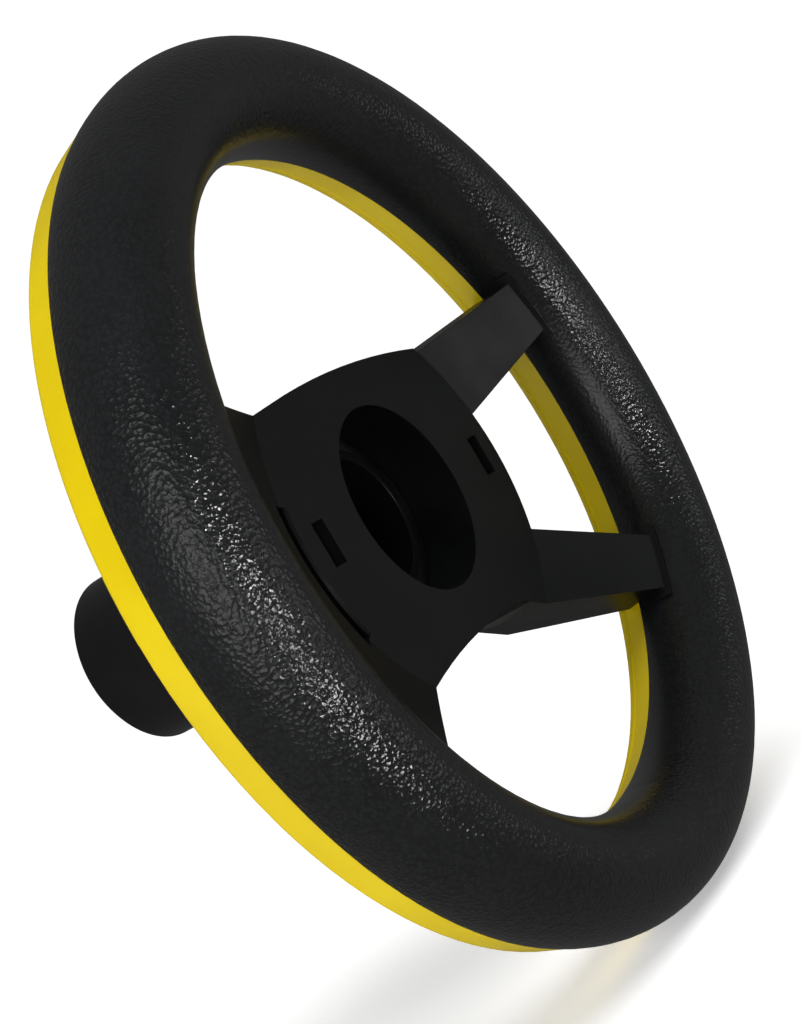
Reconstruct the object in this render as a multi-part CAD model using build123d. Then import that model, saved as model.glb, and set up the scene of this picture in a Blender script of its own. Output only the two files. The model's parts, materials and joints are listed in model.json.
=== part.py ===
from build123d import *
import math
import os

# Free-turning play steering wheel on a fixed stand-off sleeve.
#
# The wheel is modelled about its own axis: +z towards the driver, z = 0 on the joint between the
# front grip and the back ring. place() then turns every piece into the part's frame, where the
# front faces -Y, the axis is Y and the pair of narrow spokes points to +X. All sizes are in mm.

# ---- rim ----
rim_radius = 120.1            # radius of the rim's own centre line
grip_half_width = 16.45       # elliptical grip section, half its radial width
grip_half_height = 18.3       # and half its axial height
grip_centre_z = 7.8           # centre of the ellipse in front of the joint
grip_wall = 3.0
ring_depth = 11.3             # back ring, joint to back face
ring_wall = 2.6
ring_outer_draft = 2.7        # how far the ring's outer side leans in over its depth
ring_inner_draft = 5.2        # and its inner side
ring_outer_round = 3.0
ring_inner_round = 1.5
lip_height = 3.0              # locating lip of the ring inside the grip
lip_wall = 1.7
joint_clearance = 0.2         # between mating mouldings

# ---- hub, spokes and web (one moulding) ----
face_z = -7.3                 # flat hub face
frame_wall = 3.0
hub_radius = 62.2             # far edge of the hub between the narrow spokes
hub_back_z = -30.0            # back edge of the hub skirt
ramp_top_z = 12.0             # front surface of spokes and web where they meet the rim
back_ramp_start = 9.8         # the back edge starts to rise this far outside the hub
back_ramp_end_z = -7.3        # and reaches this height at the rim
spoke_pair_deg = 82.5         # direction midway between the two narrow spokes
spoke_tip_deg = 27.0          # each tip's centre from that direction
spoke_root_deg = 31.5         # each root's centre from that direction
spoke_tip_width = 19.2
spoke_root_width = 27.0
web_deg = -84.0               # direction of the broad web's middle
web_root_half_deg = 44.0
web_tip_half_deg = 31.0
hub_left_share = 0.674        # hub sides beside the well, as shares of the hub's radius
hub_right_share = 0.690
hub_side_bow = 3.0            # sideways bow of both hub sides
web_corner_round = 6.0
web_flare_round = 9.0         # fillet where the web's sides run into the rim
web_flare_deg = 16.0          # how far that fillet may spread beyond the web's tips
cove_width = 10.1             # concave blend from the web up to the rim
cove_skirt = 1.5              # how deep the blend's body reaches into the web
cove_end_z = 16.0
pad_thickness = 0.85          # raised pad of each narrow spoke's tip on the rim
pad_margin = 3.0
pad_bottom_z = 1.2
pad_top_z = 13.3
rib_thickness = 2.2
rib_back_inset = 2.0          # ribs stop this far inside the moulding's back edge
rib_length = 30.0             # hub ribs beside the well
web_rib_inset = 5.0           # web ribs start this far outside the hub
gusset_inset = 0.4            # gussets start this far below the hub face
# corners of the sloping gusset beside each narrow spoke, as shares of the hub's radius: across
# the spoke pair's middle line, then along it
gusset_top = [(0.579, 0.193), (0.682, 0.129), (0.659, 0.675)]
gusset_low = [(0.611, 0.723), (0.670, 0.651), (0.722, 0.932)]

# ---- hub openings ----
well_margin = 2.8             # the open cap well is this much wider than the bearing's bore
slot_width = 13.0             # two snap slots for a hub cap
slot_height = 6.0
slot_far_inset = 10.5         # middle of each slot inside the hub's radius
slot_near_inset = 13.2
recess_inset = 1.9            # arc-shaped recess where the web begins
recess_width = 5.7
recess_depth = 6.0
recess_wall = 2.0             # floor and sides of the recess
recess_bevel = 0.8            # bevelled inner edge of the recess
recess_start_deg = -103.0
recess_end_deg = -64.6

# ---- bearing ----
socket_radius = 21.3          # socket for a 42.4 mm tube
sleeve_wall = 6.6             # fixed stand-off sleeve behind the wheel
sleeve_end_z = -121.5
journal_step = 3.9            # the wheel runs on the turned-down front part of the sleeve
journal_wall = 3.7
journal_front_reach = 7.0     # the journal ends this far in front of the well's floor
shoulder_gap = 2.7            # from the barrel's end back to the step from journal to sleeve
socket_stop = 5.0             # the socket ends this far in front of that step
running_clearance = 0.06
bush_wall = 2.4
bush_length = 12.0
bush_flange = 1.5
bush_press = 0.04             # radial gap left between bush and barrel
barrel_wall = 5.0
well_wall = 3.7
well_floor_inset = 1.0        # the well's floor lies behind the hub skirt's back edge
barrel_end_z = -66.3
axial_play = 0.2
washer_thickness = 1.0
wave_height = 1.2
circlip_thickness = 1.5
circlip_groove = 1.2
circlip_reach = 4.4           # how far the retaining ring stands out from the journal
circlip_gap = 9.0

# ---- fasteners ----
screw_radius = 2.0            # 4 mm thread-forming screws
screw_hole_clearance = 0.4
pilot_clearance = 0.05
screw_head_radius = 4.2
screw_head_height = 2.8
counterbore_radius = 4.6
boss_radius = 5.2
head_seat_z = -6.0            # seat of the screw heads in the ring
rim_screw_tip_z = 12.0
foot_screw_tip_z = 16.0
rim_screw_pitch_deg = 28.0
plug_height = 1.9
foot_width = 14.0             # tongues of the moulding inside the rim
foot_thickness = 6.0
foot_bottom_z = 1.0
web_foot_step_deg = 23.0
cover_thickness = 3.0
cover_inset = 2.2             # cover's edge inside the hub's radius
cover_screw_inset = 14.2
cover_screw_angles = (50, 130, 230, 310)
cover_screw_length = 12.0

# ---- post fixing ----
post_screw_z = -100.0
post_screw_angles = (55, 125)  # on the far side of the sleeve
insert_radius = 5.5
post_screw_radius = 4.0
post_screw_inset = 0.8
cap_radius = 6.6
cap_height = 1.0
hex_socket_width = 4.0

# ---- seal ----
seal_thickness = 3.2
seal_length = 5.5
seal_lip_gap = 0.4

BIG = 400.0
nodes = {}


def polar(radius, degrees):
    return (radius * math.cos(math.radians(degrees)), radius * math.sin(math.radians(degrees)))


def polygon(points):
    return make_face(Polyline(*points, close=True))


def tube(outer, inner, z_low, z_high):
    ring = Circle(outer) - Circle(inner) if inner else Circle(outer)
    return extrude(Plane.XY.offset(z_low) * ring, z_high - z_low)


def spin(section):
    """Revolve a section drawn in (radius, z) about the wheel's axis."""
    return revolve(Plane.XZ * section, axis=Axis.Z)


def prism(sketch, z_low, z_high):
    return extrude(Plane.XY.offset(z_low) * sketch, z_high - z_low)


def rod_at(radius, degrees, size, z_low, z_high):
    x, y = polar(radius, degrees)
    return Pos(x, y, z_low) * Cylinder(size, z_high - z_low, align=(Align.CENTER, Align.CENTER, Align.MIN))


def place(shape):
    """Turn from the wheel's frame into the part's frame."""
    return Plane(origin=(0, 0, 0), x_dir=(0, 0, -1), z_dir=(0, -1, 0)).location * shape


def add(name, shape):
    nodes[name] = shape


# ---- derived places ----
def grip_width_at(z, shrink=0.0):
    """Half the radial width of the grip section at height z, for an ellipse shrunk all round."""
    height = grip_half_height - shrink
    return (grip_half_width - shrink) * math.sqrt(1 - ((z - grip_centre_z) / height) ** 2)


ramp_end_radius = rim_radius - grip_width_at(ramp_top_z)
back_ramp_radius = hub_radius + back_ramp_start
hub_side_left = -hub_left_share * hub_radius
hub_side_right = hub_right_share * hub_radius
cove_start_radius = ramp_end_radius - cove_width
slot_far_radius = hub_radius - slot_far_inset
slot_near_radius = hub_radius - slot_near_inset
recess_inner_radius = hub_radius - recess_inset
recess_outer_radius = recess_inner_radius + recess_width
cover_radius = hub_radius - cover_inset
cover_screw_radius = hub_radius - cover_screw_inset
well_floor_z = hub_back_z - well_floor_inset
sleeve_radius = socket_radius + sleeve_wall
journal_radius = sleeve_radius - journal_step
journal_bore_radius = journal_radius - journal_wall
journal_front_z = well_floor_z + journal_front_reach
shoulder_z = barrel_end_z - shoulder_gap
socket_floor_z = shoulder_z + socket_stop
circlip_radius = journal_radius + circlip_reach
joint_outer = rim_radius + grip_width_at(0)
joint_inner = rim_radius - grip_width_at(0)
ramp_slope = (ramp_top_z - face_z) / (ramp_end_radius - hub_radius)
back_slope = (back_ramp_end_z - hub_back_z) / (ramp_end_radius - back_ramp_radius)
bearing_bore = journal_radius + running_clearance + bush_wall
barrel_radius = bearing_bore + bush_press + barrel_wall
well_radius = bearing_bore + well_margin
well_outer = well_radius + well_wall
foot_top_z = foot_bottom_z + foot_thickness


def ramp_z(radius):
    return face_z + (radius - hub_radius) * ramp_slope


foot_angles = [spoke_pair_deg + spoke_tip_deg, spoke_pair_deg - spoke_tip_deg]
foot_angles += [web_deg + step * web_foot_step_deg for step in (1, 0, -1)]
rim_screw_angles = []
for first, second in zip(foot_angles, foot_angles[1:] + foot_angles[:1]):
    gap = (first - second) % 360
    count = round(gap / rim_screw_pitch_deg)
    if gap > 1.5 * rim_screw_pitch_deg:
        rim_screw_angles += [first - gap * i / count for i in range(1, count)]
all_screw_angles = foot_angles + rim_screw_angles


# ---- rim grip ----
def grip_section(shrink):
    ellipse = Pos(rim_radius, grip_centre_z) * Ellipse(grip_half_width - shrink, grip_half_height - shrink)
    return ellipse - Pos(rim_radius, -BIG / 2) * Rectangle(BIG, BIG)


def ring_section(shrink, depth, rounded):
    points = [
        (joint_inner + shrink, 0),
        (joint_outer - shrink, 0),
        (joint_outer - ring_outer_draft - shrink, -depth),
        (joint_inner + ring_inner_draft + shrink, -depth),
    ]
    face = polygon(points)
    if not rounded:
        return face
    outer_corner = face.vertices().sort_by(Axis.X)[-2]
    face = fillet(outer_corner, ring_outer_round)
    inner_corner = face.vertices().sort_by(Axis.X)[1]
    return fillet(inner_corner, ring_inner_round)


grip = spin(grip_section(0) - grip_section(grip_wall))
grip_cavity = spin(grip_section(grip_wall - 0.5))
for angle in all_screw_angles:
    low = foot_top_z + joint_clearance if angle in foot_angles else joint_clearance
    grip += rod_at(rim_radius, angle, boss_radius, low, BIG / 10) & grip_cavity
for angle in all_screw_angles:
    tip = foot_screw_tip_z if angle in foot_angles else rim_screw_tip_z
    grip -= rod_at(rim_radius, angle, screw_radius + pilot_clearance, -1, tip + 1)
for angle in foot_angles:
    notch = Pos(rim_radius - grip_half_width, 0, 0) * Box(
        2 * grip_half_width, foot_width + 2 * joint_clearance, 2 * (foot_top_z + joint_clearance)
    )
    grip -= Rot(0, 0, angle) * notch
add("rim_grip", grip)

# ---- back ring ----
ring = spin(ring_section(0, ring_depth, True)) - spin(ring_section(grip_wall, ring_depth - ring_wall, False))
lip_inner = rim_radius - grip_width_at(0, grip_wall) + joint_clearance
lip_outer = rim_radius + grip_width_at(0, grip_wall) - joint_clearance
for near, far in ((lip_inner, lip_inner + lip_wall), (lip_outer - lip_wall, lip_outer)):
    ring += tube(far, near, -ring_depth + ring_wall, lip_height)
for angle in all_screw_angles:
    ring += rod_at(rim_radius, angle, boss_radius + ring_wall, -ring_depth + ring_wall / 2, -joint_clearance)
for angle in foot_angles:
    gap_box = Pos(rim_radius - grip_half_width, 0, 0) * Box(
        2 * grip_half_width, foot_width + 4 * joint_clearance, 2 * lip_height + 1
    )
    ring -= (Rot(0, 0, angle) * gap_box) & tube(BIG, 0, 0, lip_height + 1)
for angle in all_screw_angles:
    ring -= rod_at(rim_radius, angle, counterbore_radius, -ring_depth - 1, head_seat_z)
    ring -= rod_at(rim_radius, angle, screw_radius + screw_hole_clearance, head_seat_z - 1, 1)
add("rim_back_ring", ring)


# ---- hub, spokes and web ----
def spoke_corners(side, angle_root, angle_tip, width_root, width_tip, reach):
    """Plan corners of one narrow spoke; side is +1 or -1 about the pair's middle direction."""
    root_angle = spoke_pair_deg + side * angle_root
    tip_angle = spoke_pair_deg + side * angle_tip
    root_x, root_y = polar(hub_radius, root_angle)
    tip_x, tip_y = polar(ramp_end_radius, tip_angle)
    across_root = polar(width_root / 2, root_angle + 90)
    across_tip = polar(width_tip / 2, tip_angle + 90)
    left_root = Vector(root_x + across_root[0], root_y + across_root[1])
    right_root = Vector(root_x - across_root[0], root_y - across_root[1])
    left_tip = Vector(tip_x + across_tip[0], tip_y + across_tip[1])
    right_tip = Vector(tip_x - across_tip[0], tip_y - across_tip[1])
    left_end = left_tip + (left_tip - left_root).normalized() * reach
    right_end = right_tip + (right_tip - right_root).normalized() * reach
    left_start = left_root - (left_tip - left_root).normalized() * reach
    right_start = right_root - (right_tip - right_root).normalized() * reach
    return [left_start, left_end, right_end, right_start]


def hub_outline():
    web_left = polar(hub_radius, web_deg - web_root_half_deg)
    web_right = polar(hub_radius, web_deg + web_root_half_deg)
    half = math.sqrt(hub_radius ** 2 - (hub_side_left + hub_side_bow) ** 2)
    top_left = (hub_side_left + hub_side_bow, half)
    top_right = (hub_side_right + hub_side_bow, math.sqrt(hub_radius ** 2 - (hub_side_right + hub_side_bow) ** 2))
    far_mid = polar(hub_radius, 90)
    near_mid = polar(hub_radius, web_deg)
    edges = [
        ThreePointArc(web_right, (hub_side_right, 0), top_right),
        ThreePointArc(top_right, far_mid, top_left),
        ThreePointArc(top_left, (hub_side_left, 0), web_left),
        ThreePointArc(web_left, near_mid, web_right),
    ]
    return make_face(edges)


def web_outline(reach):
    corners = []
    for side in (1, -1):
        root = Vector(*polar(hub_radius, web_deg + side * web_root_half_deg))
        tip = Vector(*polar(ramp_end_radius, web_deg + side * web_tip_half_deg))
        end = tip + (tip - root).normalized() * reach
        corners.append((root, end))
    middle = Vector(*polar(ramp_end_radius + 2 * reach, web_deg))
    (right_root, right_end), (left_root, left_end) = corners
    return polygon([right_root, right_end, middle, left_end, left_root])


def web_flares():
    """The web's plan up to the rim, with both sides flaring out into it."""
    start = web_deg - web_tip_half_deg - web_flare_deg
    step = (web_tip_half_deg + web_flare_deg) / 3
    fan = polygon([(0, 0)] + [polar(BIG, start + i * step) for i in range(7)])
    joined = web_outline(grip_half_width) + ((Circle(BIG / 2) - Circle(ramp_end_radius)) & fan)
    tips = []
    for side in (1, -1):
        tip = Vector(*polar(ramp_end_radius, web_deg + side * web_tip_half_deg))
        tips.append(min(joined.vertices(), key=lambda v: (Vector(v.X, v.Y, 0) - tip).length))
    return fillet(tips, web_flare_round) & Circle(ramp_end_radius)


def plan(reach):
    outline = hub_outline() + web_outline(reach) + web_flares()
    for side in (1, -1):
        corners = spoke_corners(side, spoke_root_deg, spoke_tip_deg, spoke_root_width, spoke_tip_width, reach)
        outline += polygon(corners)
    return outline


reach = grip_half_width
outline = plan(reach)
corner_targets = [Vector(*polar(hub_radius, web_deg + side * web_root_half_deg)) for side in (1, -1)]
sharp = []
for target in corner_targets:
    sharp.append(min(outline.vertices(), key=lambda v: (Vector(v.X, v.Y, 0) - target).length))
outline = fillet(sharp, web_corner_round)

front_profile = [
    (0, face_z),
    (hub_radius, face_z),
    (ramp_end_radius + reach, ramp_z(ramp_end_radius + reach)),
]
back_profile = [
    (ramp_end_radius + reach, back_ramp_end_z + reach * back_slope),
    (back_ramp_radius, hub_back_z),
    (0, hub_back_z),
]
outer_body = spin(polygon(front_profile + back_profile)) & prism(outline, -BIG / 2, BIG / 2)

inner_front = [
    (0, face_z - frame_wall),
    (hub_radius, face_z - frame_wall),
    (ramp_end_radius + reach, ramp_z(ramp_end_radius + reach) - frame_wall),
]
inner_back = [(ramp_end_radius + reach, hub_back_z - 1), (0, hub_back_z - 1)]
inner_outline = offset(outline, -frame_wall)
rim_stop = Circle(joint_inner - 2 * frame_wall)
inner_body = spin(polygon(inner_front + inner_back)) & prism(inner_outline & rim_stop, -BIG / 2, BIG / 2)

rim_envelope = spin(grip_section(-joint_clearance)) + spin(ring_section(-joint_clearance, ring_depth + 1, False))
rim_envelope += tube(BIG, rim_radius, -BIG / 4, BIG / 4)


def gusset(side):
    """Sloping wall between the hub's flank and a narrow spoke's outer side."""
    turn = Rot(0, 0, spoke_pair_deg - 90)
    faces = []
    for points, height in ((gusset_top, face_z - gusset_inset), (gusset_low, hub_back_z)):
        corners = [(side * x * hub_radius, y * hub_radius, height) for x, y in points]
        faces.append(make_face(Polyline(*corners, close=True)))
    return turn * loft(faces, ruled=True)


frame = outer_body - inner_body
for side in (1, -1):
    frame += gusset(side)
ribs = []
spoke_rib_radii = [hub_radius + (ramp_end_radius - hub_radius) * share for share in (0.25, 0.5, 0.75)]
for radius in spoke_rib_radii:
    ribs.append(tube(radius + rib_thickness / 2, radius - rib_thickness / 2, -BIG / 4, BIG / 4))
for angle in [web_deg + step * web_foot_step_deg for step in (-0.5, 0.5)]:
    ribs.append(Rot(0, 0, angle) * (Pos(BIG / 8 + hub_radius + web_rib_inset, 0, 0) * Box(BIG / 4, rib_thickness, BIG / 2)))
for angle in (0, 180):
    ribs.append(Rot(0, 0, angle) * (Pos(well_outer + rib_length / 3, 0, 0) * Box(rib_length, rib_thickness, BIG / 2)))
back_cut = spin(polygon([
    (0, hub_back_z + rib_back_inset),
    (back_ramp_radius, hub_back_z + rib_back_inset),
    (ramp_end_radius + reach, back_ramp_end_z + reach * back_slope + rib_back_inset),
    (ramp_end_radius + reach, hub_back_z - BIG / 8),
    (0, hub_back_z - BIG / 8),
]))
for rib in ribs:
    frame += (rib & inner_body) - back_cut

for angle in cover_screw_angles:
    boss = rod_at(cover_screw_radius, angle, boss_radius, hub_back_z + joint_clearance, face_z - 1)
    frame += boss & prism(outline, -BIG / 2, BIG / 2)

cove = make_face([
    Line((cove_start_radius, ramp_z(cove_start_radius) - cove_skirt), (cove_start_radius, ramp_z(cove_start_radius))),
    TangentArc(
        (cove_start_radius, ramp_z(cove_start_radius)),
        (rim_radius - grip_width_at(cove_end_z), cove_end_z),
        tangent=(1, ramp_slope),
    ),
    Line((rim_radius - grip_width_at(cove_end_z), cove_end_z), (rim_radius, cove_end_z)),
    Line((rim_radius, cove_end_z), (rim_radius, ramp_z(cove_start_radius) - cove_skirt)),
    Line((rim_radius, ramp_z(cove_start_radius) - cove_skirt), (cove_start_radius, ramp_z(cove_start_radius) - cove_skirt)),
])
frame += spin(cove) & prism(web_outline(reach) + web_flares(), -BIG / 2, BIG / 2)
pad_shell = spin(grip_section(-joint_clearance - pad_thickness))
for side in (1, -1):
    corners = spoke_corners(
        side, spoke_root_deg, spoke_tip_deg, spoke_root_width + 2 * pad_margin,
        spoke_tip_width + 2 * pad_margin, reach,
    )
    pad_zone = prism(polygon(corners), pad_bottom_z, pad_top_z) & tube(rim_radius, hub_radius, 0, BIG / 8)
    frame += pad_shell & pad_zone
frame -= rim_envelope

for angle in foot_angles:
    foot = Pos((ramp_end_radius + rim_radius + boss_radius) / 2 - 3, 0, foot_bottom_z + foot_thickness / 2) * Box(
        rim_radius + boss_radius - ramp_end_radius + 6, foot_width, foot_thickness
    )
    frame += Rot(0, 0, angle) * foot
for angle in foot_angles:
    frame -= rod_at(rim_radius, angle, screw_radius + screw_hole_clearance, -5, foot_top_z + 5)

frame += tube(well_outer, 0, well_floor_z - 3, face_z)
frame += tube(barrel_radius, 0, barrel_end_z, well_floor_z)
frame -= tube(well_radius, 0, well_floor_z, face_z + 1)
frame -= tube(bearing_bore + bush_press, 0, barrel_end_z - 1, well_floor_z + 1)
for angle in cover_screw_angles:
    frame -= rod_at(
        cover_screw_radius, angle, screw_radius + pilot_clearance, hub_back_z - 1, hub_back_z + cover_screw_length
    )
for radius, angle in ((slot_far_radius, 90), (slot_near_radius, -90)):
    x, y = polar(radius, angle)
    frame -= Pos(x, y, face_z) * Box(slot_width, slot_height, 2 * frame_wall + 2)

recess_zone = Circle(recess_outer_radius + recess_wall + 1) - Circle(recess_inner_radius - recess_wall)
sector = polygon([(0, 0)] + [polar(BIG / 2, recess_start_deg - 3 + i * (recess_end_deg - recess_start_deg + 6) / 6)
                             for i in range(7)])
frame += prism(recess_zone & sector, face_z - recess_depth - recess_wall, face_z - 1)
cut_sector = polygon([(0, 0)] + [polar(BIG / 2, recess_start_deg + i * (recess_end_deg - recess_start_deg) / 6)
                                 for i in range(7)])
recess_cut = (Circle(recess_outer_radius) - Circle(recess_inner_radius)) & cut_sector
frame -= prism(recess_cut, face_z - recess_depth, BIG / 8)
bevel_cut = spin(polygon([
    (recess_inner_radius - recess_bevel - 1, face_z + 1),
    (recess_inner_radius + 1, face_z + 1),
    (recess_inner_radius + 1, face_z - recess_bevel - 1),
]))
frame -= bevel_cut & prism(cut_sector, -BIG / 8, BIG / 8)
add("spoke_frame", frame)


# ---- hub back cover ----
cover_zone = offset(hub_outline(), -joint_clearance) & Circle(cover_radius)
cover = prism(cover_zone, hub_back_z - cover_thickness, hub_back_z)
cover -= tube(well_outer + joint_clearance, 0, hub_back_z - cover_thickness - 1, hub_back_z + 1)
cover_edges = cover.faces().sort_by(Axis.Z)[0].outer_wire().edges()
cover = chamfer(cover_edges, cover_thickness / 4)
for angle in cover_screw_angles:
    cover -= rod_at(
        cover_screw_radius, angle, screw_radius + screw_hole_clearance, hub_back_z - cover_thickness - 1, hub_back_z + 1
    )
add("hub_back_cover", cover)


# ---- screws ----
def screw(seat_z, tip_z):
    """Pan-head screw pointing to +z, with a cross recess in its head."""
    shank = Pos(0, 0, seat_z) * Cylinder(
        screw_radius, tip_z - seat_z, align=(Align.CENTER, Align.CENTER, Align.MIN)
    )
    shank = chamfer(shank.edges().sort_by(Axis.Z)[-1], screw_radius * 0.6)
    head = Pos(0, 0, seat_z - screw_head_height) * Cylinder(
        screw_head_radius, screw_head_height, align=(Align.CENTER, Align.CENTER, Align.MIN)
    )
    head = fillet(head.edges().sort_by(Axis.Z)[0], screw_head_height * 0.45)
    for turn in (0, 90):
        head -= Rot(0, 0, turn) * (Pos(0, 0, seat_z - screw_head_height) * Box(
            screw_head_radius, screw_head_radius / 4, screw_head_height
        ))
    return shank + head


def pattern(shape, radius, angles):
    return Compound(children=[Rot(0, 0, angle) * (Pos(radius, 0, 0) * shape) for angle in angles])


add("rim_screws", pattern(screw(head_seat_z, rim_screw_tip_z), rim_radius, rim_screw_angles))
add("spoke_foot_screws", pattern(screw(head_seat_z, foot_screw_tip_z), rim_radius, foot_angles))
cover_seat_z = hub_back_z - cover_thickness - pilot_clearance
cover_screw = screw(cover_seat_z, cover_seat_z + cover_screw_length)
add("back_cover_screws", pattern(cover_screw, cover_screw_radius, cover_screw_angles))

plug_low = -ring_depth + joint_clearance
plug = Pos(0, 0, plug_low) * Cylinder(
    counterbore_radius - joint_clearance / 4, plug_height, align=(Align.CENTER, Align.CENTER, Align.MIN)
)
plug = chamfer(plug.edges().sort_by(Axis.Z)[0], plug_height / 4)
add("ring_screw_plugs", pattern(plug, rim_radius, all_screw_angles))

# ---- bearing between wheel and sleeve ----
bush_inner = journal_radius + running_clearance
flange_radius = well_radius - 0.4
front_bush = tube(bearing_bore, bush_inner, well_floor_z - bush_length, well_floor_z)
front_bush += tube(flange_radius, bush_inner, well_floor_z, well_floor_z + bush_flange)
add("front_bush", front_bush)
rear_flange_radius = barrel_radius - 1
rear_bush = tube(bearing_bore, bush_inner, barrel_end_z, barrel_end_z + bush_length)
rear_bush += tube(rear_flange_radius, bush_inner, barrel_end_z - bush_flange, barrel_end_z)
add("rear_bush", rear_bush)

washer_inner = journal_radius + running_clearance / 2
front_washer_low = well_floor_z + bush_flange + axial_play
wave_low = front_washer_low + washer_thickness
circlip_low = wave_low + wave_height
add("front_thrust_washer", tube(flange_radius, washer_inner, front_washer_low, wave_low))

wave_count = 3
wave_sheet = 0.4
wave_points = 12 * wave_count
wave_low_mid = wave_low + wave_sheet / 2
wave_swing = wave_height - wave_sheet
wave_sectors = []
for i in range(wave_points):
    start_deg = 360 * i / wave_points
    mid_deg = start_deg + 180 / wave_points
    lift = wave_swing * (0.5 - 0.5 * math.cos(math.radians(mid_deg * wave_count)))
    zone = polygon([(0, 0), polar(BIG / 4, start_deg), polar(BIG / 4, start_deg + 360 / wave_points)])
    step = (Circle(flange_radius - 0.6) - Circle(washer_inner)) & zone
    wave_sectors.append(prism(step, wave_low + lift, wave_low + lift + wave_sheet))
wave_washer = wave_sectors[0]
for piece in wave_sectors[1:]:
    wave_washer += piece
add("wave_washer", wave_washer)

circlip_inner = journal_radius - circlip_groove + 0.05
circlip = tube(circlip_radius, circlip_inner, circlip_low, circlip_low + circlip_thickness)
circlip -= Pos(0, -circlip_radius, circlip_low) * Box(circlip_gap, circlip_radius, 4 * circlip_thickness)
add("retaining_ring", circlip)

rear_washer_top = barrel_end_z - bush_flange - axial_play
add("rear_thrust_washer", tube(sleeve_radius, washer_inner, shoulder_z, rear_washer_top))

# ---- fixed stand-off sleeve ----
sleeve = tube(sleeve_radius, 0, sleeve_end_z, shoulder_z) + tube(journal_radius, 0, shoulder_z, journal_front_z)
sleeve = chamfer(sleeve.edges().filter_by(GeomType.CIRCLE).sort_by(Axis.Z)[0], 1.0)
sleeve = chamfer(sleeve.edges().filter_by(GeomType.CIRCLE).sort_by(Axis.Z)[-1], 0.8)
sleeve -= tube(socket_radius, 0, sleeve_end_z - 1, socket_floor_z)
sleeve -= tube(journal_bore_radius, 0, socket_floor_z - 1, journal_front_z + 1)
sleeve -= tube(journal_radius + 1, journal_radius - circlip_groove, circlip_low - 0.05, circlip_low + circlip_thickness + 0.05)


def radial(shape, angle):
    """Turn a piece drawn along +z so that it points outwards at the post screws' height."""
    return Pos(0, 0, post_screw_z) * Rot(0, 0, angle) * Rot(0, 90, 0) * shape


insert_inner = socket_radius + 0.4
insert_outer = math.sqrt(sleeve_radius ** 2 - insert_radius ** 2) - 0.3
inserts = []
screws = []
caps = []
for angle in post_screw_angles:
    hole = Cylinder(insert_radius, BIG / 8, align=(Align.CENTER, Align.CENTER, Align.MIN))
    sleeve -= radial(hole, angle)
    body = Pos(0, 0, insert_inner) * Cylinder(
        insert_radius - 0.05, insert_outer - insert_inner, align=(Align.CENTER, Align.CENTER, Align.MIN)
    )
    body -= Cylinder(post_screw_radius, BIG / 8, align=(Align.CENTER, Align.CENTER, Align.MIN))
    inserts.append(radial(body, angle))
    grub_top = insert_outer - post_screw_inset
    grub = Pos(0, 0, insert_inner) * Cylinder(
        post_screw_radius - 0.05, grub_top - insert_inner, align=(Align.CENTER, Align.CENTER, Align.MIN)
    )
    socket = extrude(RegularPolygon(hex_socket_width / 2, 6, major_radius=False), 2 * post_screw_inset + 2)
    grub -= Pos(0, 0, grub_top - 2.5) * socket
    screws.append(radial(grub, angle))
    cap = Pos(0, 0, insert_outer + 0.1) * Cylinder(
        cap_radius, sleeve_radius + cap_height - insert_outer, align=(Align.CENTER, Align.CENTER, Align.MIN)
    )
    cap -= Rot(0, -90, 0) * Cylinder(sleeve_radius + pilot_clearance, 4 * cap_radius)
    stem = Pos(0, 0, insert_outer + 0.1) * Cylinder(
        insert_radius - 0.15, sleeve_radius - insert_outer, align=(Align.CENTER, Align.CENTER, Align.MIN)
    )
    cap = fillet(cap.edges().filter_by(GeomType.CIRCLE).sort_by(Axis.Z)[-1], cap_height / 2)
    caps.append(radial(cap + stem, angle))
add("mount_sleeve", sleeve)
add("post_screw_inserts", Compound(children=inserts))
add("post_screws", Compound(children=screws))
add("post_screw_caps", Compound(children=caps))

# ---- rubber seal on the sleeve ----
seal_top = rear_washer_top - seal_lip_gap
seal = tube(sleeve_radius + seal_thickness, sleeve_radius + 0.02, shoulder_z - seal_length, shoulder_z)
lip_points = [
    (sleeve_radius + seal_thickness * 0.3, shoulder_z - 1),
    (sleeve_radius + seal_thickness, shoulder_z - 1),
    (sleeve_radius + seal_thickness, seal_top),
    (sleeve_radius + seal_thickness * 0.7, seal_top),
]
seal += spin(polygon(lip_points))
add("rear_seal_ring", seal)

for name, shape in nodes.items():
    print(name, len(shape.solids()), shape.is_valid, round(shape.volume))
os.makedirs("parts", exist_ok=True)
for name, shape in nodes.items():
    export_step(place(shape), "parts/" + name + ".step")
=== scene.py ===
import json
import math

import bpy
from mathutils import Matrix, Vector


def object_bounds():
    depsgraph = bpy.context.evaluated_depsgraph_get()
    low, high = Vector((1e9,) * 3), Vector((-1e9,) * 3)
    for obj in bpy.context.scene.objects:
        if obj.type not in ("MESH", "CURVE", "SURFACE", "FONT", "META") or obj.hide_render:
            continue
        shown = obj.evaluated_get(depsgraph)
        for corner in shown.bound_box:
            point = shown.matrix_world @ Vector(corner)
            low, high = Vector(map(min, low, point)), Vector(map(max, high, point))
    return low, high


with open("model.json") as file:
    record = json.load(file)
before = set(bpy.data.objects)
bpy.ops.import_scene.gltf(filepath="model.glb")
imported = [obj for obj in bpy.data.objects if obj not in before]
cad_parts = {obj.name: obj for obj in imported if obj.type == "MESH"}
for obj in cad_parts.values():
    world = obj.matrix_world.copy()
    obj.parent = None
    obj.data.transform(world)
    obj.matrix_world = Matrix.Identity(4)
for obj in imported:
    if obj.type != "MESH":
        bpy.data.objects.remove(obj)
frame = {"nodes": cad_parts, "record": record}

cad_low, cad_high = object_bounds()
NODES = frame["nodes"]

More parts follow.
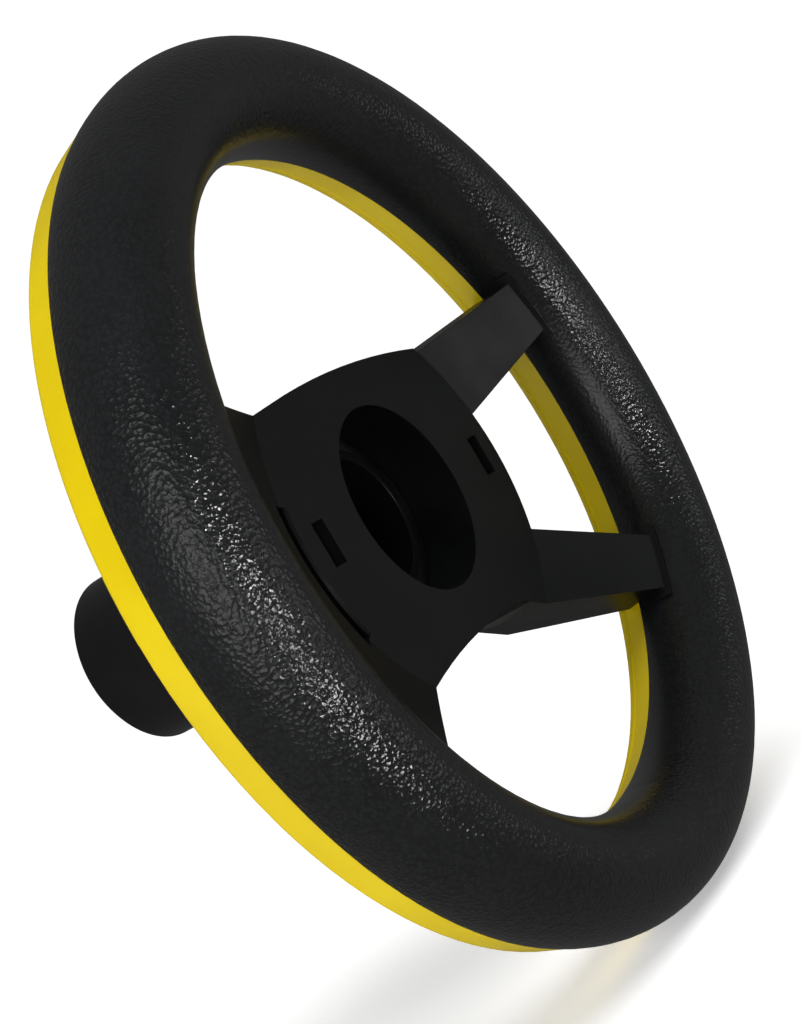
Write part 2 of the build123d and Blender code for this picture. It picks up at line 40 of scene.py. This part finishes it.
# Lengths are in metres. The wheel's axis is Y, its front faces -Y, and the web is on the -X side.
GRAIN_EDGE = 0.1045           # the moulded grain fades inside this radius, on the rim's inner flank
GRAIN_EDGE_WEB = 0.1155       # and inside this one where the web joins
WEB_SIDE_X = (-0.02, -0.075)  # the edge moves from the first radius to the second between these
GRAIN_FADE = (-0.002, 0.0035)  # the grain goes from faint to full between these, from the edge
GRAIN_FAINT = 0.12            # share of the grain left inside the edge
GRAIN_DEPTH = 0.00034
PEBBLE_SHARE = 0.75           # of the grain's height; the finer cells make up the rest

FLOOR_GAP = 0.0005            # below the lowest point of the object
FLOOR_REACH = 20.0
FLOOR_GREY = (0.9, 0.9, 0.9, 1)
FLOOR_GLOW = 0.42
WHITE = (1, 1, 1, 1)

CAMERA_PLACE = (-0.43226, -0.23935, -0.00274)
CAMERA_AZIMUTH, CAMERA_ELEVATION, CAMERA_ROLL = 29.60, -2.41, 30.58
CAMERA_LENS = 61.32           # millimetres, for a sensor 36 mm wide
CAMERA_SHIFT = (-0.0527, 0.0527)


# ---------------------------------------------------------------- node helpers
class Shader:
    """Small builder for one procedural material."""

    def __init__(self, name):
        self.material = bpy.data.materials.new(name)
        self.material.use_nodes = True
        self.tree = self.material.node_tree
        self.tree.nodes.clear()
        self.output = self.tree.nodes.new("ShaderNodeOutputMaterial")
        self.surface = self.tree.nodes.new("ShaderNodeBsdfPrincipled")
        self.link(self.surface.outputs["BSDF"], self.output.inputs["Surface"])
        self.place = self.tree.nodes.new("ShaderNodeTexCoord").outputs["Object"]

    def link(self, source, target):
        self.tree.links.new(source, target)

    def put(self, socket, value):
        """Link a socket's value, or set a plain one."""
        if hasattr(value, "is_output"):
            self.link(value, socket)
        else:
            socket.default_value = value

    def set(self, **values):
        """Set the surface's inputs, with _ for the spaces in their names."""
        for name, value in values.items():
            self.put(self.surface.inputs[name.replace("_", " ")], value)

    def math(self, operation, a, b=0.0, c=0.0):
        node = self.tree.nodes.new("ShaderNodeMath")
        node.operation = operation
        for socket, value in zip(node.inputs, (a, b, c)):
            self.put(socket, value)
        return node.outputs[0]

    def split(self, vector):
        node = self.tree.nodes.new("ShaderNodeSeparateXYZ")
        self.put(node.inputs[0], vector)
        return node.outputs

    def noise(self, scale, detail=2.0, rough=0.5):
        node = self.tree.nodes.new("ShaderNodeTexNoise")
        self.link(self.place, node.inputs["Vector"])
        for name, value in (("Scale", scale), ("Detail", detail), ("Roughness", rough)):
            node.inputs[name].default_value = value
        return node.outputs["Fac"]

    def cells(self, scale, smooth=None):
        """Distance to the nearest of a field of scattered points, blended where smooth is given."""
        node = self.tree.nodes.new("ShaderNodeTexVoronoi")
        node.feature = "F1" if smooth is None else "SMOOTH_F1"
        self.link(self.place, node.inputs["Vector"])
        node.inputs["Scale"].default_value = scale
        if smooth is not None:
            node.inputs["Smoothness"].default_value = smooth
        return node.outputs["Distance"]

    def ramp(self, value, low, high, out_low=0.0, out_high=1.0):
        node = self.tree.nodes.new("ShaderNodeMapRange")
        node.interpolation_type = "SMOOTHSTEP"
        self.put(node.inputs["Value"], value)
        limits = (("From Min", low), ("From Max", high), ("To Min", out_low), ("To Max", out_high))
        for name, number in limits:
            node.inputs[name].default_value = number
        return node.outputs["Result"]

    def blend(self, share, a, b):
        node = self.tree.nodes.new("ShaderNodeMix")
        node.data_type = "RGBA"
        self.put(node.inputs["Factor"], share)
        self.put(node.inputs["A"], a)
        self.put(node.inputs["B"], b)
        return node.outputs["Result"]

    def rounded(self, radius):
        """Normal that rounds sharp edges off to the radius."""
        node = self.tree.nodes.new("ShaderNodeBevel")
        node.samples = 4
        node.inputs["Radius"].default_value = radius
        return node.outputs["Normal"]

    def bump(self, height, distance, strength, under=None):
        node = self.tree.nodes.new("ShaderNodeBump")
        self.put(node.inputs["Height"], height)
        node.inputs["Distance"].default_value = distance
        self.put(node.inputs["Strength"], strength)
        if under is not None:
            self.link(under, node.inputs["Normal"])
        return node.outputs["Normal"]


def scaled(tone, share):
    """A colour of three values made darker or lighter, with its fourth added."""
    return tuple(share * c for c in tone) + (1,)


# ---------------------------------------------------------------- materials
def grip_plastic():
    """Black plastic with a pebbled grain that fades on the rim's inner flank."""
    s = Shader("grip_grained_black")
    pebble = s.cells(820.0, smooth=0.25)
    fine = s.cells(1600.0, smooth=0.3)
    x, _, z = s.split(s.place)
    radius = s.math("SQRT", s.math("ADD", s.math("MULTIPLY", x, x), s.math("MULTIPLY", z, z)))
    web_side = s.ramp(x, *WEB_SIDE_X)
    grain_edge = s.math("MULTIPLY_ADD", web_side, GRAIN_EDGE_WEB - GRAIN_EDGE, GRAIN_EDGE)
    outward = s.ramp(s.math("SUBTRACT", radius, grain_edge), *GRAIN_FADE)
    grained = s.math("MULTIPLY_ADD", outward, 1 - GRAIN_FAINT, GRAIN_FAINT)
    height = s.math("ADD", s.math("MULTIPLY", pebble, PEBBLE_SHARE),
                    s.math("MULTIPLY", fine, 1 - PEBBLE_SHARE))
    patch = s.noise(26.0, 3.0, 0.55)
    normal = s.bump(height, GRAIN_DEPTH, grained)
    tone = s.blend(s.ramp(pebble, 0.15, 0.75),
                   (0.0075, 0.0080, 0.0086, 1), (0.0040, 0.0043, 0.0047, 1))
    tone = s.blend(s.ramp(patch, 0.3, 0.75, 0.0, 0.35), tone, (0.0105, 0.0110, 0.0120, 1))
    rough = s.ramp(patch, 0.25, 0.8, 0.28, 0.34)
    s.set(Base_Color=tone, Roughness=rough, Normal=normal, IOR=1.55)
    return s.material


def ring_plastic():
    """Yellow plastic with a few darker specks."""
    s = Shader("ring_yellow")
    soft = s.noise(35.0, 3.0, 0.5)
    specks = s.cells(420.0)
    tone = s.blend(s.ramp(soft, 0.25, 0.8), (0.52, 0.385, 0.0, 1), (0.57, 0.435, 0.0, 1))
    tone = s.blend(s.ramp(specks, 0.05, 0.02, 0.0, 0.35), tone, (0.40, 0.27, 0.0, 1))
    wave = s.noise(260.0, 2.0, 0.5)
    s.set(Base_Color=tone, Roughness=s.ramp(soft, 0.2, 0.8, 0.32, 0.42),
          Normal=s.bump(wave, 0.00004, 0.6, s.rounded(0.0008)), IOR=1.38)
    s.set(Subsurface_Weight=0.12, Subsurface_Radius=(0.004, 0.003, 0.001))
    return s.material


def smooth_black(name, tone, rough, edge):
    """Smooth black plastic; edge is the radius that its sharp edges are rounded to."""
    s = Shader(name)
    soft = s.noise(40.0, 4.0, 0.6)
    fine = s.noise(1500.0, 2.0, 0.5)
    colour = s.blend(s.ramp(soft, 0.3, 0.75), scaled(tone, 0.82), scaled(tone, 1.35))
    normal = s.bump(fine, 0.00003, 0.5, s.rounded(edge))
    roughness = s.ramp(soft, 0.25, 0.8, rough - 0.04, rough + 0.06)
    s.set(Base_Color=colour, Roughness=roughness, Normal=normal, IOR=1.42)
    return s.material


def metal(name, tone, rough):
    s = Shader(name)
    grain = s.noise(720.0, 3.0, 0.6)
    patch = s.noise(60.0, 3.0, 0.5)
    colour = s.blend(s.ramp(patch, 0.3, 0.7), scaled(tone, 0.85), scaled(tone, 1))
    roughness = s.ramp(patch, 0.2, 0.8, rough - 0.06, rough + 0.08)
    s.set(Base_Color=colour, Roughness=roughness, Metallic=1.0,
          Normal=s.bump(grain, 0.00002, 0.5, s.rounded(0.0003)))
    return s.material


def matt_polymer():
    s = Shader("bush_polymer")
    fine = s.noise(900.0, 3.0, 0.5)
    patch = s.noise(60.0, 2.0, 0.5)
    tone = s.blend(patch, (0.50, 0.48, 0.42, 1), (0.62, 0.60, 0.53, 1))
    s.set(Base_Color=tone, Roughness=0.5, Normal=s.bump(fine, 0.00003, 0.5, s.rounded(0.0004)))
    return s.material


def seal_rubber():
    s = Shader("seal_rubber")
    fine = s.noise(1300.0, 3.0, 0.6)
    tone = s.blend(s.noise(90.0), (0.010, 0.010, 0.010, 1), (0.020, 0.020, 0.021, 1))
    s.set(Base_Color=tone, Roughness=0.62, Normal=s.bump(fine, 0.00004, 0.6, s.rounded(0.0004)))
    return s.material


MATERIALS = {
    "grip_black": grip_plastic(),
    "ring_yellow": ring_plastic(),
    "frame_black": smooth_black("frame_black", (0.0036, 0.0040, 0.0040), 0.42, 0.00035),
    "sleeve_black": smooth_black("sleeve_black", (0.0042, 0.0042, 0.0045), 0.34, 0.0006),
    "bush_polymer": matt_polymer(),
    "zinc_steel": metal("zinc_steel", (0.60, 0.60, 0.57), 0.34),
    "spring_steel": metal("spring_steel", (0.16, 0.165, 0.175), 0.42),
    "brass": metal("brass", (0.72, 0.50, 0.20), 0.30),
    "seal_rubber": seal_rubber(),
}

slot_of = {part["node"]: part["material_slot"] for part in frame["record"]["subparts"]}
for name, node in NODES.items():
    node.data.materials.clear()
    node.data.materials.append(MATERIALS[slot_of[name]])


# ---------------------------------------------------------------- camera, light and floor
def add(name, data):
    thing = bpy.data.objects.new(name, data)
    bpy.context.scene.collection.objects.link(thing)
    return thing


def look_matrix(azimuth, elevation, roll):
    """Camera rotation from the line of sight's azimuth from +X, its elevation and the
    camera's clockwise roll, in degrees."""
    a, e, r = (math.radians(v) for v in (azimuth, elevation, roll))
    forward = Vector((math.cos(a) * math.cos(e), math.sin(a) * math.cos(e), math.sin(e)))
    level_right = forward.cross(Vector((0, 0, 1))).normalized()
    level_up = level_right.cross(forward)
    right = math.cos(r) * level_right - math.sin(r) * level_up
    up = math.sin(r) * level_right + math.cos(r) * level_up
    return Matrix((right, up, -forward)).transposed()


def area_light(name, place, target, size, power):
    """Rectangular light that faces its target; size is its width and height."""
    data = bpy.data.lights.new(name, "AREA")
    data.shape = "RECTANGLE"
    data.size, data.size_y = size
    data.energy = power
    light = add(name, data)
    light.location = place
    line = Vector(target) - Vector(place)
    light.rotation_euler = line.to_track_quat("-Z", "Y").to_euler()
    return light


def sun(name, toward, strength, spread):
    """Far soft light that shines from a direction given from the wheel's centre."""
    data = bpy.data.lights.new(name, "SUN")
    data.energy = strength
    data.angle = math.radians(spread)
    light = add(name, data)
    light.rotation_euler = Vector(toward).to_track_quat("Z", "Y").to_euler()
    return light


def studio_world(seen, lighting):
    """World that the camera sees as white and that lights the object only dimly."""
    world = bpy.data.worlds.new("studio")
    world.use_nodes = True
    nodes, links = world.node_tree.nodes, world.node_tree.links
    background = nodes["Background"]
    background.inputs["Color"].default_value = WHITE
    path = nodes.new("ShaderNodeLightPath")
    strength = nodes.new("ShaderNodeMapRange")
    strength.inputs["To Min"].default_value = lighting
    strength.inputs["To Max"].default_value = seen
    links.new(path.outputs["Is Camera Ray"], strength.inputs["Value"])
    links.new(strength.outputs["Result"], background.inputs["Strength"])
    return world


camera_data = bpy.data.cameras.new("camera")
camera_data.sensor_width = 36.0
camera_data.lens = CAMERA_LENS
camera_data.shift_x, camera_data.shift_y = CAMERA_SHIFT
camera_data.clip_start = 0.01
camera_data.clip_end = 50.0
camera = add("camera", camera_data)
turn = look_matrix(CAMERA_AZIMUTH, CAMERA_ELEVATION, CAMERA_ROLL)
camera.matrix_world = Matrix.Translation(CAMERA_PLACE) @ turn.to_4x4()
bpy.context.scene.camera = camera

# The bands are the soft highlights along the near and the far half of the rim
overhead = sun("overhead", toward=(-0.15, -0.45, 1.0), strength=2.2, spread=45)
area_light("near_band", (-0.72, -1.68, -0.42), (-0.1, 0, 0), size=(0.35, 0.55), power=90)
area_light("far_band", (-1.3, -0.4, 0.15), (0.1, 0, 0), size=(0.7, 0.8), power=3.5)
area_light("faces", (0.33, -0.9, -0.1), (0.05, 0, 0), size=(0.3, 0.3), power=0.6)
ring_fill = area_light("ring_fill", (-1.2, 0.15, 0.2), (0.1, 0, 0), size=(0.6, 0.6), power=9)
for unreflected in (overhead, ring_fill):
    unreflected.visible_glossy = False

floor_z = cad_low.z - FLOOR_GAP
corners = [(-1, -1), (1, -1), (1, 1), (-1, 1)]
floor_mesh = bpy.data.meshes.new("floor")
floor_mesh.from_pydata([(FLOOR_REACH * x, FLOOR_REACH * y, floor_z) for x, y in corners],
                       [], [(0, 1, 2, 3)])
floor = add("floor", floor_mesh)
paper = Shader("floor_paper")
paper.set(Base_Color=FLOOR_GREY, Roughness=0.9, Emission_Color=WHITE, Emission_Strength=FLOOR_GLOW)
floor_mesh.materials.append(paper.material)
floor.visible_glossy = False

bpy.context.scene.world = studio_world(seen=1.05, lighting=0.12)
bpy.context.scene.view_settings.view_transform = "Standard"
